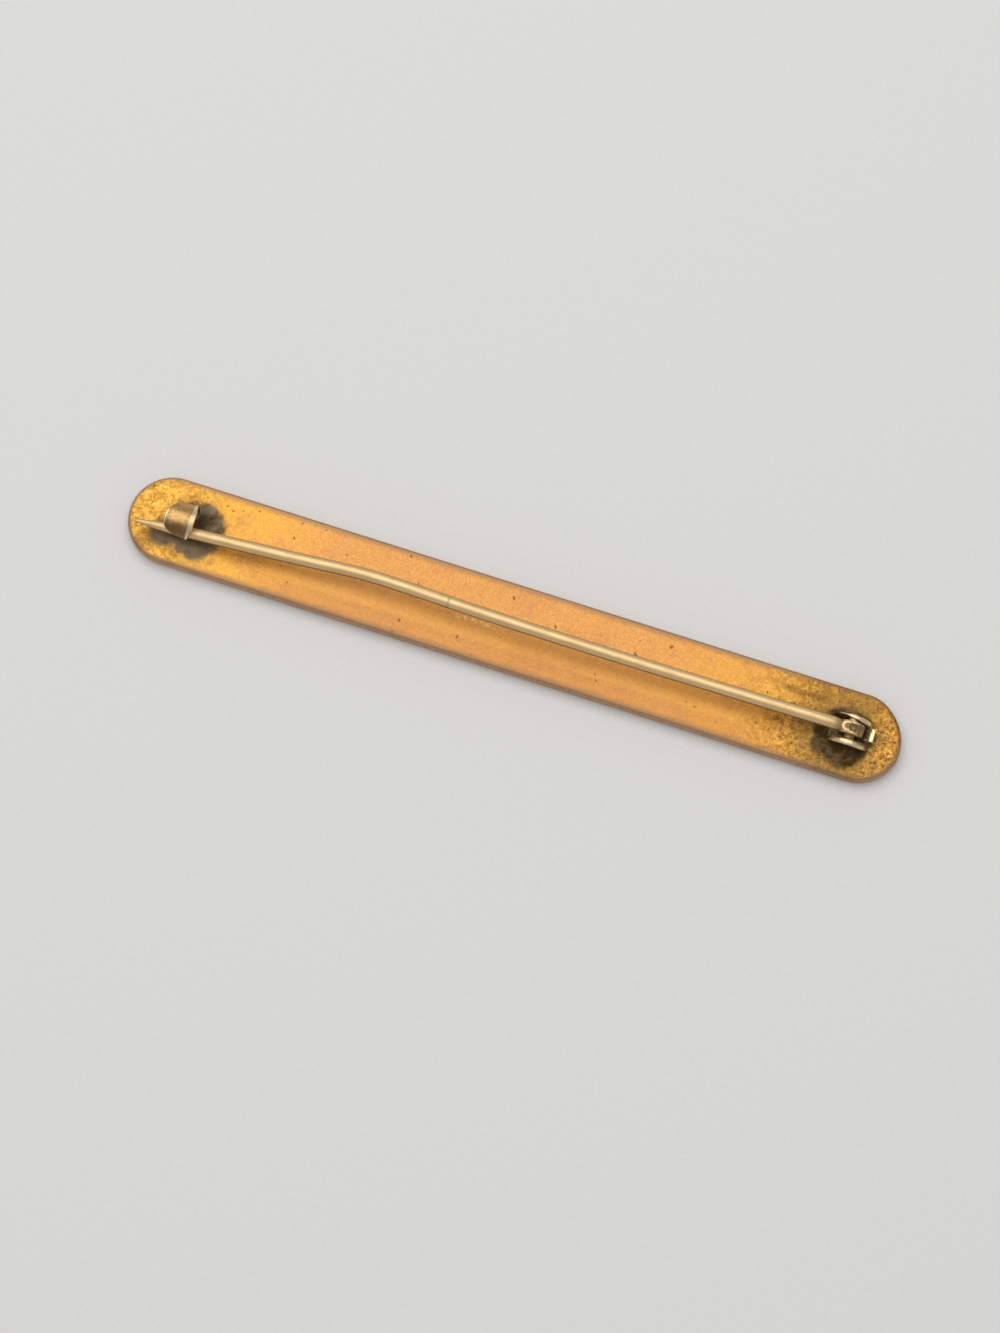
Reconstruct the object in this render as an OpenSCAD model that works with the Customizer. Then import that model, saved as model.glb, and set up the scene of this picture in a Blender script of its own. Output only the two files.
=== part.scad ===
// Bar brooch lying on its plain front, seen from the back.
// Origin: centre of the front face. +X runs along the bar to the hinge, +Z comes out of the back.
// Heights named "rise" are measured from the back of the bar.

/* [Bar] */
// Length of the bar over its round ends
bar_l = 60; // [58:0.5:64]
// Width of the bar
bar_w = 6.6; // [6.2:0.1:7.4]
// Thickness of the bar
bar_t = 1.2; // [1:0.1:1.6]
// Radius of the worn rim round the back
back_round = 0.4; // [0.2:0.05:0.5]
// Radius of the edge round the front
front_round = 0.25; // [0.15:0.05:0.4]

/* [Pin stem] */
// Diameter of the stem's wire
wire_d = 0.87; // [0.8:0.01:0.95]
// Distance of the stem's bend from the bar's middle, toward the catch
bend_x = 11.6; // [8:0.2:14]
// Height of the wire's middle at the bend
bend_rise = 2.15; // [1.9:0.05:2.3]
// Height of the wire's middle at its highest place
arch_rise = 2.4; // [2.2:0.05:2.6]
// Height of the wire's middle where it leaves the hinge
heel_rise = 1.8; // [1.7:0.02:1.84]
// Gap between the sharp tip and the end of the bar
tip_inset = 0.55; // [0.4:0.05:1]
// How far the tip lies to the catch's open side
tip_side = 1.1; // [1:0.02:1.16]
// Height of the tip
tip_rise = 1.06; // [0.9:0.02:1.2]
// Length of the ground point
taper_l = 3; // [2:0.25:4]
// Free straight length between the bend and the catch
free_l = 12; // [8:0.5:12.5]

/* [Catch] */
// Distance of the catch's middle from the end of the bar
catch_inset = 4.15; // [4:0.05:4.5]
// Width of the catch's strip along the bar
catch_w = 2.3; // [2:0.1:2.6]
// Thickness of the strip
strip_t = 0.24; // [0.2:0.01:0.26]
// Outer radius of the curl
curl_r = 1.45; // [1.41:0.02:1.55]
// Height of the curl's middle
curl_rise = 1.3; // [1.24:0.02:1.34]
// How far the curl's middle lies to its open side
curl_side = 0.18; // [0.16:0.01:0.24]
// Angle by which the curl's free end passes its widest place
curl_end_deg = 18; // [10:1:24]

/* [Hinge] */
// Distance of the rivet from the end of the bar
rivet_inset = 4; // [3.8:0.05:4.2]
// Height of the rivet's middle
rivet_rise = 1.2; // [1.14:0.02:1.24]
// Diameter of the rivet
rivet_d = 0.76; // [0.7:0.02:0.8]
// Radius of the half-round ears
ear_r = 1.5; // [1.45:0.01:1.55]
// Height of the ears' round middle
ear_rise = 0.35; // [0.3:0.01:0.4]
// Thickness of the ears and of the floor between them
ear_t = 0.3; // [0.25:0.01:0.35]
// Room between the ears
ear_gap = 1.43; // [1.4:0.01:1.5]
// How far the hinge's middle lies toward the catch's root side
hinge_side = 0.1; // [0:0.02:0.2]
// Radius of the knuckle at the end of the stem
knuckle_r = 0.95; // [0.88:0.01:0.97]
// Width of the knuckle
knuckle_w = 0.93; // [0.88:0.01:0.96]
// Running clearance round the rivet
rivet_play = 0.05; // [0.03:0.01:0.08]
// Height of the upturned stop behind the knuckle
stop_rise = 1.35; // [1.2:0.05:1.4]

/* [Solder] */
// Radius of the solder under the catch
catch_solder_r = 2.35; // [2.1:0.05:2.6]
// Radius of the solder under the hinge
hinge_solder_r = 2.45; // [2.2:0.05:2.6]
// Height of the solder over the back
solder_h = 0.14; // [0.1:0.01:0.16]

/* [Hidden] */
$fn = 64;
gilt = [0.86, 0.66, 0.36];
brass = [0.88, 0.78, 0.56];
steel_grey = [0.6, 0.55, 0.46];
end_r = bar_w / 2;
straight_l = bar_l - bar_w;
wire_r = wire_d / 2;
catch_x = catch_inset - bar_l / 2;
rivet_x = bar_l / 2 - rivet_inset;
rivet_z = bar_t + rivet_rise;
rivet_r = rivet_d / 2;
ears_w = ear_gap + 2 * ear_t;
stop_x = rivet_x + knuckle_r + 0.3;
stop_lean = 0.2;
stop_t = 0.45;
sink = 0.3;
bend_swell = 0.01;
bend_trim = 0.04;
catch_wear = 0.025;

// Where the middle of the wire runs, from the knuckle to the tip: along the bar, across it, rise.
stem_path = [
    [rivet_x - 0.2, hinge_side, heel_rise],
    [23.7, 0.15, heel_rise + 0.02],
    [9, -0.07, arch_rise - 0.1],
    [0.2, -0.05, arch_rise],
    [3 - bend_x, 0.06, bend_rise + 0.15],
    [-bend_x, 0.05, bend_rise],
    [tip_inset - bar_l / 2, -tip_side, tip_rise]
];
path_last = len(stem_path) - 1;

function on_back(p) = [p[0], p[1], bar_t + p[2]];

// Stands what is drawn along +Z at p and turns it to point to q.
module aim(p, q) {
    run = q - p;
    translate(p)
        rotate([0, acos(run[2] / norm(run)), atan2(run[1], run[0])])
            children();
}

// One straight stretch of wire with a ball at its far end, where the next stretch begins.
module wire_stretch(p, q) {
    length = norm(q - p);
    aim(p, q) {
        translate([0, 0, bend_trim])
            cylinder(h = length - 2 * bend_trim, r = wire_r);
        translate([0, 0, length])
            sphere(r = wire_r + bend_swell);
    }
}

// The last stretch: straight wire, worn slightly thinner through the catch, then the ground point.
module point_stretch(p, q) {
    length = norm(q - p);
    aim(p, q)
        rotate_extrude()
            polygon([
                [0, bend_trim],
                [wire_r, bend_trim],
                [wire_r, free_l],
                [wire_r - catch_wear, length - taper_l],
                [0.04, length],
                [0, length]
            ]);
}

// Half of the bar's cross-section, from its middle line outward.
module half_section() {
    square([end_r - back_round, bar_t]);
    square([end_r - front_round, bar_t - back_round]);
    translate([0, front_round])
        square([end_r, bar_t - front_round - back_round]);
    translate([end_r - back_round, bar_t - back_round])
        circle(r = back_round);
    translate([end_r - front_round, front_round])
        circle(r = front_round);
}

module bar_plate() {
    rotate([90, 0, 90])
        linear_extrude(straight_l, center = true) {
            half_section();
            mirror([1, 0])
                half_section();
        }
    for (far = [0, 1])
        mirror([far, 0, 0])
            translate([straight_l / 2, 0, 0])
                rotate([0, 0, -90])
                    rotate_extrude(angle = 180)
                        half_section();
}

module solder(x, r) {
    translate([x, 0, bar_t - sink])
        cylinder(h = sink, r = r);
    translate([x, 0, bar_t])
        cylinder(h = solder_h, r1 = r, r2 = r - 0.5);
}

// Side view of the curled strip, with its mouth below the free end.
module curl_outline() {
    difference() {
        circle(r = curl_r);
        circle(r = curl_r - strip_t);
        rotate(180 + curl_end_deg)
            square([3 * curl_r, 3 * curl_r]);
    }
}

// A strip rising on the far side and curling over the stem, its free end cut to a round tongue.
module catch() {
    intersection() {
        translate([catch_x - catch_w / 2, -curl_side, bar_t + curl_rise])
            rotate([90, 0, 90])
                linear_extrude(catch_w)
                    curl_outline();
        translate([catch_x, 0, bar_t - sink])
            linear_extrude(2 * curl_r + 1) {
                translate([-catch_w / 2, -curl_side - 0.55])
                    square([catch_w, 2 * curl_r]);
                translate([0, -curl_side - 0.5])
                    circle(r = catch_w / 2 - 0.01);
            }
    }
}

module ear(y) {
    translate([rivet_x, y + ear_t / 2, bar_t + ear_rise])
        rotate([90, 0, 0])
            linear_extrude(ear_t)
                intersection() {
                    circle(r = ear_r);
                    translate([-ear_r, -ear_rise - sink])
                        square([2 * ear_r, 2 * ear_r]);
                }
}

// Two ears on one floor, and behind the knuckle the floor's upturned end that stops the stem.
module hinge_bracket() {
    difference() {
        for (side = [-1, 1])
            ear(hinge_side + side * (ear_gap + ear_t) / 2);
        translate([rivet_x, hinge_side, rivet_z])
            rotate([90, 0, 0])
                cylinder(h = 2 * ears_w, r = rivet_r, center = true);
    }
    translate([rivet_x - ear_r, hinge_side - ears_w / 2, bar_t - sink])
        cube([2 * ear_r, ears_w, sink + solder_h + 0.02]);
    translate([stop_x, hinge_side, bar_t])
        rotate([90, 0, 0])
            linear_extrude(knuckle_w + 0.1, center = true)
                polygon([
                    [0, -sink],
                    [stop_t, -sink],
                    [stop_lean + stop_t, stop_rise],
                    [stop_lean, stop_rise]
                ]);
}

module bar() {
    color(gilt)
        bar_plate();
    color(steel_grey) {
        solder(catch_x + 1, catch_solder_r);
        solder(rivet_x - 0.5, hinge_solder_r);
    }
    color(brass) {
        catch();
        hinge_bracket();
    }
}

module hinge_rivet() {
    head_h = 0.12;
    color(brass)
        translate([rivet_x, hinge_side, rivet_z])
            rotate([90, 0, 0]) {
                cylinder(h = ears_w + 0.02, r = rivet_r, center = true);
                for (side = [-1, 1])
                    translate([0, 0, side * (ears_w / 2 + head_h / 2)])
                        cylinder(h = head_h, r = rivet_r + 0.14, center = true);
            }
}

// A worn hollow in the top of the knuckle, open away from the stem.
module knuckle_hollow() {
    hollow_r = knuckle_w / 2 - 0.13;
    translate([0, 0, knuckle_r - 0.3]) {
        cylinder(h = 1, r = hollow_r);
        translate([0, -hollow_r, 0])
            cube([2 * knuckle_r, 2 * hollow_r, 1]);
    }
}

module pin_stem() {
    color(brass)
        difference() {
            union() {
                for (i = [0 : path_last - 2])
                    wire_stretch(on_back(stem_path[i]), on_back(stem_path[i + 1]));
                point_stretch(on_back(stem_path[path_last - 1]), on_back(stem_path[path_last]));
                translate([rivet_x, hinge_side, rivet_z])
                    rotate([90, 0, 0])
                        cylinder(h = knuckle_w, r = knuckle_r, center = true);
            }
            translate([rivet_x, hinge_side, rivet_z]) {
                knuckle_hollow();
                rotate([90, 0, 0])
                    cylinder(h = 2 * ears_w, r = rivet_r + rivet_play, center = true);
            }
        }
}

bar();
hinge_rivet();
pin_stem();
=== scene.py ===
import math

import bmesh
import bpy
from mathutils import Matrix, Vector


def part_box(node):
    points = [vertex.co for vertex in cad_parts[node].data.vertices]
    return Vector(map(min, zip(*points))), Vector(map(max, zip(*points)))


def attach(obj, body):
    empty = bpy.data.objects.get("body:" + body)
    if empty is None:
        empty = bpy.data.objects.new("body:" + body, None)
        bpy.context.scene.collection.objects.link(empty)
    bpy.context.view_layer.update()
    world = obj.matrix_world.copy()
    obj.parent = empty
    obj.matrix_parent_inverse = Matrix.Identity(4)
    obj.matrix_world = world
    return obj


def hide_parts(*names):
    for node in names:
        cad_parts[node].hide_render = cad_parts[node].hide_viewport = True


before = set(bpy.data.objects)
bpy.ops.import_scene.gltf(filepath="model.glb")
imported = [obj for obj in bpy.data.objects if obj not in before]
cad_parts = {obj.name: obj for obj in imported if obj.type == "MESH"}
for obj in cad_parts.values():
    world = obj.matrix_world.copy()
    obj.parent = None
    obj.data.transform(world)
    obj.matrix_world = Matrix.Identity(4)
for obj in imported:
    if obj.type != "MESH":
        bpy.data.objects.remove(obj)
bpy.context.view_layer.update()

bl_info = {
    "name": "Bar brooch",
    "version": (1, 0, 0),
    "blender": (4, 5, 0),
    "location": "3D View > Sidebar > Brooch",
    "description": "Builds a worn gilt bar brooch, seen from its back",
    "category": "Add Mesh",
}

# Pieces are modelled in millimetres and brought to metres when they are finished.
MM = 0.001
BAR_LOW, BAR_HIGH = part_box("bar")
RIVET_LOW, RIVET_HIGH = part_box("hinge_rivet")
# In millimetres from here on. The back's height is that of the bar's upper face.
BAR_LENGTH = (BAR_HIGH[0] - BAR_LOW[0]) / MM
BAR_WIDTH = (BAR_HIGH[1] - BAR_LOW[1]) / MM
BACK = 1.2
RIVET_CENTRE = (Vector(RIVET_LOW) + Vector(RIVET_HIGH)) / 2 / MM
RIVET_HALF = (RIVET_HIGH[1] - RIVET_LOW[1]) / MM / 2
HEAD_LIP = 0.14
SHANK_RADIUS = (RIVET_HIGH[0] - RIVET_LOW[0]) / MM / 2 - HEAD_LIP
RIVET_PLAY = 0.05

# Turns a cylinder's axis from upright to across the bar.
ACROSS = (math.radians(90), 0, 0)

# Where the middle of the wire runs: along the bar, across it, height over the back, thickness.
STEM_POINTS = (
    (25.35, 0.08, 1.62, 0.80),
    (24.70, 0.07, 1.79, 1.03),
    (21.00, 0.01, 1.92, 1.02),
    (15.00, -0.10, 2.12, 1.01),
    (9.00, -0.18, 2.27, 1.00),
    (3.00, -0.20, 2.35, 1.00),
    (-3.00, -0.15, 2.34, 1.00),
    (-8.00, -0.02, 2.26, 1.00),
    (-11.60, 0.00, 2.12, 1.00),
    (-16.00, -0.29, 1.86, 1.00),
    (-21.00, -0.60, 1.57, 0.99),
    (-25.00, -0.82, 1.33, 0.96),
    (-26.40, -0.91, 1.24, 0.90),
    (-27.40, -0.98, 1.18, 0.69),
    (-28.30, -1.03, 1.12, 0.44),
    (-29.00, -1.08, 1.09, 0.24),
    (-29.40, -1.10, 1.06, 0.09),
)

# Round marks on the plate: place along it and across it, radius and softness of the edge.
CATCH_POOL = (-24.65, -0.22, 2.1, 0.25)
CATCH_TRAIL = (-26.9, -1.1, 1.1, 0.3)
CATCH_SCORCH = (-25.0, -0.3, 2.45, 0.6)
# Painted shadow of the catch on its solder.
CATCH_SHADOW = (-24.5, 0.45, 0.75, 0.5)
HINGE_POOL = (25.5, -0.35, 2.3, 0.3)
HINGE_SCORCH = (25.2, -0.3, 3.3, 0.9)
# Painted shade under the knuckle, between the ears.
KNUCKLE_SHADE_SPOT = (26.0, 0.1, 1.2, 0.6)
OLD_STAIN = (-28.2, -2.0, 0.75, 0.3)


class Tone:
    """Colours of wear, dirt and solder, and of painted light and shade."""

    AMBER = (0.70, 0.33, 0.055)
    BRONZE = (0.58, 0.27, 0.045)
    RED_BROWN = (0.56, 0.24, 0.09)
    PALE_GRAIN = (0.88, 0.50, 0.20)
    DARK_GRAIN = (0.42, 0.18, 0.05)
    BRIGHT_GILT = (1.0, 0.62, 0.14)
    SPOT = (0.26, 0.125, 0.022)
    LOWER_SHADE = (0.48, 0.205, 0.06)
    HINGE_SHADE = (0.36, 0.17, 0.03)
    # Painted light: a paler band that lifts the wire's soft shadow on the plate.
    UNDER_WIRE_LIGHT = (0.95, 0.47, 0.11)
    # Painted shade in a band where the back's rim rounds over.
    RIM_SHADE_BROWN = (0.40, 0.22, 0.10)
    RIM_PALE = (0.62, 0.385, 0.23)
    SIDE_BROWN = (0.38, 0.21, 0.085)
    CHIP = (1.0, 0.72, 0.30)
    SCORCH = (0.28, 0.16, 0.045)
    # Painted shade: the catch's shadow, and the shade under the knuckle.
    SHADE_DARK = (0.03, 0.018, 0.008)
    LEAD = (0.15, 0.105, 0.06)
    LEAD_PALE = (0.225, 0.17, 0.115)
    LEAD_DARK = (0.075, 0.045, 0.018)
    LEAD_GRAIN = (0.36, 0.28, 0.19)
    LEAD_LOWER = (0.27, 0.20, 0.125)
    BURNT = (0.13, 0.085, 0.035)
    BURNT_DARK = (0.06, 0.035, 0.012)
    BURNT_UPPER = (0.22, 0.15, 0.065)
    BURNT_GRAIN = (0.26, 0.19, 0.11)
    WIRE_CLOUD = (0.80, 0.55, 0.26)
    WIRE_LINES = (0.60, 0.40, 0.18)
    # Painted shade down the wire's sides and on its lower limb.
    WIRE_SIDE_SHADE = (0.30, 0.18, 0.06)
    WIRE_LIMB_SHADE = (0.14, 0.075, 0.022)
    WIRE_UNDERSIDE = (0.52, 0.35, 0.15)
    WIRE_MARK = (0.20, 0.13, 0.05)
    KNUCKLE_CLOUD = (0.66, 0.50, 0.26)
    # Dirt with painted shade, in the knuckle's hollow and between the ears.
    SHADED_DIRT = (0.23, 0.145, 0.05)
    SHADED_DIRT_PALE = (0.50, 0.345, 0.15)
    # Painted shade low down on the knuckle and the bracket.
    LOW_SHADE = (0.12, 0.075, 0.03)
    BRACKET_CLOUD = (0.66, 0.48, 0.22)
    BRACKET_GRAIN = (0.34, 0.22, 0.09)
    # Painted highlight on the bracket's burnished upper edges.
    BRACKET_EDGE_WEAR_AND_SHEEN = (1.0, 0.80, 0.48)
    FAR_EAR_END = (0.12, 0.08, 0.03)
    # Painted shade on the near ear: the inner part of its top, and its outer face.
    NEAR_EAR_INNER_SHADE = (0.30, 0.21, 0.085)
    NEAR_EAR_OUTER_SHADE = (0.055, 0.033, 0.013)
    STRIP_CLOUD = (0.70, 0.45, 0.19)
    STRIP_GRAIN = (0.30, 0.16, 0.055)
    # Painted shade where the curl turns down away from the light.
    STRIP_LOWER_SHADE = (0.20, 0.11, 0.05)
    STRIP_EDGE = (1.0, 0.82, 0.50)
    # Painted shade low down near the plate.
    STRIP_ROOT_SHADE = (0.10, 0.06, 0.025)
    FLOOR_TOOTH = (0.95, 0.94, 0.92)


class BroochSizes(bpy.types.PropertyGroup):
    bar_thickness: bpy.props.FloatProperty(
        name="Bar thickness",
        description="Thickness of the bar under the fittings",
        default=BACK * MM,
        unit="LENGTH",
    )
    back_round: bpy.props.FloatProperty(
        name="Back rim",
        description="Radius of the worn rim round the back",
        default=0.25 * MM,
        unit="LENGTH",
    )
    front_round: bpy.props.FloatProperty(
        name="Front edge",
        description="Radius of the edge round the front",
        default=0.25 * MM,
        unit="LENGTH",
    )
    wire_radius: bpy.props.FloatProperty(
        name="Wire radius",
        description="Radius of the stem's wire",
        default=0.465 * MM,
        unit="LENGTH",
    )
    catch_centre: bpy.props.FloatVectorProperty(
        name="Catch centre",
        description="Middle of the catch's curl",
        default=(-25.85 * MM, -0.18 * MM, 2.5 * MM),
        subtype="TRANSLATION",
        unit="LENGTH",
    )
    catch_radius: bpy.props.FloatProperty(
        name="Catch radius",
        description="Outer radius of the curl",
        default=1.45 * MM,
        unit="LENGTH",
    )
    catch_width: bpy.props.FloatProperty(
        name="Catch width",
        description="Width of the strip at the top of the curl",
        default=2.36 * MM,
        unit="LENGTH",
    )
    strip_thickness: bpy.props.FloatProperty(
        name="Strip thickness",
        description="Thickness of the catch's strip",
        default=0.24 * MM,
        unit="LENGTH",
    )
    ear_radius: bpy.props.FloatProperty(
        name="Ear radius",
        description="Radius of the hinge's half-round ears",
        default=1.5 * MM,
        unit="LENGTH",
    )
    ear_gap: bpy.props.FloatProperty(
        name="Ear gap",
        description="Room between the hinge's ears",
        default=1.43 * MM,
        unit="LENGTH",
    )
    knuckle_radius: bpy.props.FloatProperty(
        name="Knuckle radius",
        description="Radius of the eye at the end of the stem",
        default=0.95 * MM,
        unit="LENGTH",
    )
    solder_radius: bpy.props.FloatProperty(
        name="Solder radius",
        description="Radius of the solder under each fitting",
        default=2.35 * MM,
        unit="LENGTH",
    )


class BroochColours(bpy.types.PropertyGroup):
    gilt: bpy.props.FloatVectorProperty(
        name="Gilt",
        description="Yellow of the gilding where it is least worn",
        default=(0.80, 0.40, 0.06),
        subtype="COLOR",
    )
    copper: bpy.props.FloatVectorProperty(
        name="Copper",
        description="Peach where the gilding is rubbed thin",
        default=(0.64, 0.295, 0.085),
        subtype="COLOR",
    )
    stain: bpy.props.FloatVectorProperty(
        name="Stain",
        description="Brown of the spots and stains",
        default=(0.17, 0.075, 0.022),
        subtype="COLOR",
    )
    wire: bpy.props.FloatVectorProperty(
        name="Wire",
        description="Pale brass of the stem's wire",
        default=(0.96, 0.68, 0.35),
        subtype="COLOR",
    )
    strip: bpy.props.FloatVectorProperty(
        name="Strip",
        description="Aged brass of the catch",
        default=(0.64, 0.375, 0.14),
        subtype="COLOR",
    )
    floor: bpy.props.FloatVectorProperty(
        name="Floor",
        description="Pale floor under the brooch",
        default=(0.92, 0.91, 0.89),
        subtype="COLOR",
    )


class BroochView(bpy.types.PropertyGroup):
    distance: bpy.props.FloatProperty(
        name="Distance",
        description="Distance of the camera from the brooch",
        default=0.3,
        unit="LENGTH",
    )
    lens: bpy.props.FloatProperty(
        name="Lens",
        description="Focal length of the camera",
        default=109.55,
        unit="CAMERA",
    )
    lean_along: bpy.props.FloatProperty(
        name="Lean along",
        description="Lean of the view toward the hinge end",
        default=math.radians(4),
        subtype="ANGLE",
    )
    lean_across: bpy.props.FloatProperty(
        name="Lean across",
        description="Lean of the view toward the catch's open side",
        default=math.radians(11),
        subtype="ANGLE",
    )
    roll: bpy.props.FloatProperty(
        name="Roll",
        description="Turn of the picture round the line of sight",
        default=math.radians(17.57),
        subtype="ANGLE",
    )
    aim: bpy.props.FloatVectorProperty(
        name="Aim",
        description="Point in the middle of the picture",
        default=(-0.066 * MM, -2.98 * MM, 0.6 * MM),
        subtype="TRANSLATION",
        unit="LENGTH",
    )


class Link:
    """A socket of a material, on which arithmetic adds Math nodes."""

    def __init__(self, shader, socket):
        self.shader = shader
        self.socket = socket

    def math(self, operation, *others):
        return self.shader.node("ShaderNodeMath", {"operation": operation}, self, *others)

    def __add__(self, other):
        return self.math("ADD", other)

    __radd__ = __add__

    def __sub__(self, other):
        return self.math("SUBTRACT", other)

    def __rsub__(self, other):
        return self.shader.node("ShaderNodeMath", {"operation": "SUBTRACT"}, other, self)

    def __mul__(self, other):
        return self.math("MULTIPLY", other)

    __rmul__ = __mul__

    def __truediv__(self, other):
        return self.math("DIVIDE", other)

    def __pow__(self, other):
        return self.math("POWER", other)

    def __abs__(self):
        return self.math("ABSOLUTE")

    def at_least(self, other):
        return self.math("MAXIMUM", other)

    def rise(self, low, high):
        """0 below low, 1 above high and smooth between them; falls instead where low is above high."""
        if low > high:
            return 1 - self.rise(high, low)
        return self.shader.node(
            "ShaderNodeMapRange", {"interpolation_type": "SMOOTHSTEP"}, self, low, high, 0.0, 1.0
        )


class Shader:
    """A metal's node tree, with places in millimetres."""

    def __init__(self, name):
        self.material = bpy.data.materials.new(name)
        self.material.use_nodes = True
        self.tree = self.material.node_tree
        self.surface = next(n for n in self.tree.nodes if n.type == "BSDF_PRINCIPLED")
        place = self.node("ShaderNodeTexCoord", {}, out="Object")
        self.place = self.node(
            "ShaderNodeVectorMath", {"operation": "SCALE"}, place, Scale=1 / MM
        )
        axes = self.node("ShaderNodeSeparateXYZ", {}, self.place)
        self.x = axes
        self.y = Link(self, axes.socket.node.outputs[1])
        self.z = Link(self, axes.socket.node.outputs[2])

    def node(self, kind, settings, *inputs, out=0, **named):
        made = self.tree.nodes.new(kind)
        for key, value in settings.items():
            if key == "stops":
                self.fill_ramp(made.color_ramp, value)
            else:
                setattr(made, key, value)
        for key, value in [*enumerate(inputs), *named.items()]:
            key = key.replace("_", " ") if isinstance(key, str) else key
            if isinstance(value, Link):
                self.tree.links.new(value.socket, made.inputs[key])
            elif value is not None:
                made.inputs[key].default_value = value
        return Link(self, made.outputs[out])

    def fill_ramp(self, ramp, stops):
        while len(ramp.elements) < len(stops):
            ramp.elements.new(1.0)
        for element, (place, colour) in zip(ramp.elements, stops):
            element.position = place
            element.color = (*colour, 1.0)

    def noise(self, scale, detail=2.0, roughness=0.5, stretch=(1, 1, 1), shift=0.0, distortion=0.0):
        """Noise from about 0 to 1, with scale cells to a millimetre."""
        place = self.node(
            "ShaderNodeMapping",
            {"vector_type": "POINT"},
            self.place,
            Location=(shift, shift * 0.7, 0),
            Scale=stretch,
        )
        return self.node(
            "ShaderNodeTexNoise",
            {"noise_dimensions": "3D"},
            Vector=place,
            Scale=scale,
            Detail=detail,
            Roughness=roughness,
            Distortion=distortion,
        )

    def attribute(self, name):
        """What paint stored under this name."""
        return self.node("ShaderNodeAttribute", {"attribute_name": name}, out="Fac")

    def mix(self, first, second, share):
        """The first colour, and as much of the second as the share says."""
        made = self.tree.nodes.new("ShaderNodeMix")
        made.data_type = "RGBA"
        made.clamp_factor = True
        for key, value in ((0, share), (6, first), (7, second)):
            if isinstance(value, Link):
                self.tree.links.new(value.socket, made.inputs[key])
            elif key:
                made.inputs[key].default_value = (*value, 1.0)
            else:
                made.inputs[key].default_value = value
        return Link(self, made.outputs[2])

    def spot(self, x, y, radius, soft, wobble=None):
        """1 within radius of a place on the bar and 0 beyond it, with a soft edge."""
        dx = self.x - x
        dy = self.y - y
        distance = (dx * dx + dy * dy) ** 0.5
        if wobble is not None:
            distance = distance + (wobble - 0.5) * radius
        return distance.rise(radius + soft, radius - soft)

    def finish(self, colour, roughness, height=None, bump=0.02, metallic=1.0, **constants):
        """Links what varies to the surface, and sets what doesn't on its own sockets."""
        surface = self.surface
        for name, value in (("Base Color", colour), ("Roughness", roughness), ("Metallic", metallic)):
            if isinstance(value, Link):
                self.tree.links.new(value.socket, surface.inputs[name])
            elif name == "Base Color":
                surface.inputs[name].default_value = (*value, 1.0)
            else:
                surface.inputs[name].default_value = value
        for name, value in constants.items():
            surface.inputs[name.replace("_", " ")].default_value = value
        if height is not None:
            normal = self.node("ShaderNodeBump", {}, Strength=1.0, Distance=bump * MM, Height=height)
            self.tree.links.new(normal.socket, surface.inputs["Normal"])
        return self.material


def back_metal(colours):
    """Worn gilding, spotted at the ends and worn thin to peach between, with dull solder on it and some
    painted light and shade.
    """
    s = Shader("worn_gilt")
    cloud = s.noise(0.5, 3.0)
    mottle = s.noise(2.9, 5.0, 0.7, distortion=0.5)
    grain = s.noise(8.0, 3.0, 0.65, shift=9.0)
    wobble = s.noise(0.75, 4.0, 0.6, shift=6.0)
    tone = s.noise(1.2, 4.0, 0.6, shift=12.0)
    # 0 along the rubbed middle and 1 at both ends.
    ends = (abs(s.x + 1.8) / (BAR_LENGTH / 2) + (cloud - 0.5) * 0.25).rise(0.60, 0.86)
    colour = gilding(s, colours, cloud, mottle, grain, ends)
    colour, spots = add_spots(s, colour, colours, mottle, ends)
    colour, rim_shade = add_rim(s, colour, mottle, ends)
    colour, pools = add_solder_and_painted_light(s, colour, grain, wobble, tone)
    colour = add_marks(s, colour, colours, wobble)
    roughness = 0.40 + mottle * 0.08 + spots * 0.2 + rim_shade * 0.05 + pools * 0.08
    scratch = s.noise(1.0, 2.0, 0.6, stretch=(0.35, 14, 1), shift=5.0)
    height = mottle * 0.9 + grain * 0.4 + scratch * 0.25
    height = height - spots * 0.4 + pools * tone * 1.5
    return s.finish(colour, roughness, height, bump=0.010)


def gilding(s, colours, cloud, mottle, grain, ends):
    """Yellow at the catch's end, peach in the middle and browner at the hinge's end."""
    stops = (
        (0.0, colours.gilt),
        (0.14, colours.gilt),
        (0.27, colours.copper),
        (0.66, colours.copper),
        (0.82, Tone.AMBER),
        (0.90, Tone.BRONZE),
        (1.0, Tone.BRONZE),
    )
    colour = s.node("ShaderNodeValToRGB", {"stops": stops}, s.x / BAR_LENGTH + 0.5)
    colour = s.mix(colour, Tone.RED_BROWN, cloud.rise(0.5, 0.64) * (1 - ends) * 0.5)
    colour = s.mix(colour, Tone.PALE_GRAIN, grain.rise(0.46, 0.72) * 0.42)
    colour = s.mix(colour, Tone.DARK_GRAIN, grain.rise(0.54, 0.28) * 0.42)
    return s.mix(colour, Tone.BRIGHT_GILT, mottle.rise(0.50, 0.66) * (ends * 0.55 + 0.12))


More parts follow.
